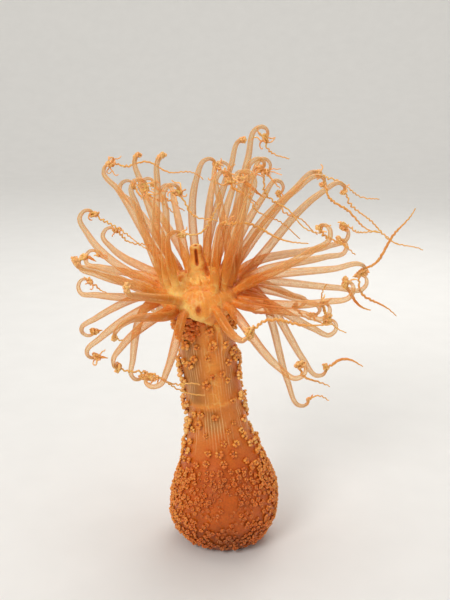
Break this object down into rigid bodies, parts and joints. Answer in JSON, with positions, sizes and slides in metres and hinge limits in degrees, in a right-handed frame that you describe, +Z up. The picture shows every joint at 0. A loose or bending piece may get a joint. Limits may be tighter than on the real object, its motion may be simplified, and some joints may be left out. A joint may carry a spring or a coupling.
{
  "type": "sea anemone",
  "caption": "Berried sea anemone, fully opened: round warty base on a flat foot, tall leaning column, and a crown of clear hooked tentacles trailing fine threads.",
  "frame": {"origin": "middle of the flat underside of the foot", "axes": "+Z up out of the foot, -Y the front, +X to the right as the front is seen"},
  "size_m": [0.2554, 0.1944, 0.3073],
  "materials": {
    "foot": "damp skin",
    "column": "damp translucent skin with granular warts",
    "collar": "damp skin",
    "disc": "damp skin",
    "tentacle": "damp translucent skin"
  },
  "bodies": {
    "root": {"pedal_disc": "foot", "base_bulb": "column", "column_lower": "column", "column_upper": "column", "collar": "collar", "oral_disc": "disc", "mouth": "disc", "tentacle_outer_01": "tentacle", "tentacle_outer_02": "tentacle", "tentacle_outer_03": "tentacle", "tentacle_outer_04": "tentacle", "tentacle_outer_05": "tentacle", "tentacle_outer_06": "tentacle", "tentacle_outer_07": "tentacle", "tentacle_outer_08": "tentacle", "tentacle_outer_09": "tentacle", "tentacle_outer_10": "tentacle", "tentacle_outer_11": "tentacle", "tentacle_outer_12": "tentacle", "tentacle_outer_13": "tentacle", "tentacle_outer_14": "tentacle", "tentacle_outer_15": "tentacle", "tentacle_outer_16": "tentacle", "tentacle_outer_17": "tentacle", "tentacle_outer_18": "tentacle", "tentacle_outer_19": "tentacle", "tentacle_outer_20": "tentacle", "tentacle_middle_01": "tentacle", "tentacle_middle_02": "tentacle", "tentacle_middle_03": "tentacle", "tentacle_middle_04": "tentacle", "tentacle_middle_05": "tentacle", "tentacle_middle_06": "tentacle", "tentacle_middle_07": "tentacle", "tentacle_middle_08": "tentacle", "tentacle_middle_09": "tentacle", "tentacle_middle_10": "tentacle", "tentacle_middle_11": "tentacle", "tentacle_middle_12": "tentacle", "tentacle_middle_13": "tentacle", "tentacle_middle_14": "tentacle", "tentacle_middle_15": "tentacle", "tentacle_middle_16": "tentacle", "tentacle_middle_17": "tentacle", "tentacle_middle_18": "tentacle", "tentacle_inner_01": "tentacle", "tentacle_inner_02": "tentacle", "tentacle_inner_03": "tentacle", "tentacle_inner_04": "tentacle", "tentacle_inner_05": "tentacle", "tentacle_inner_06": "tentacle", "tentacle_inner_07": "tentacle", "tentacle_inner_08": "tentacle", "tentacle_inner_09": "tentacle", "tentacle_inner_10": "tentacle", "tentacle_inner_11": "tentacle", "tentacle_inner_12": "tentacle", "tentacle_inner_13": "tentacle", "tentacle_inner_14": "tentacle", "tentacle_inner_15": "tentacle"}
  },
  "joints": []
}
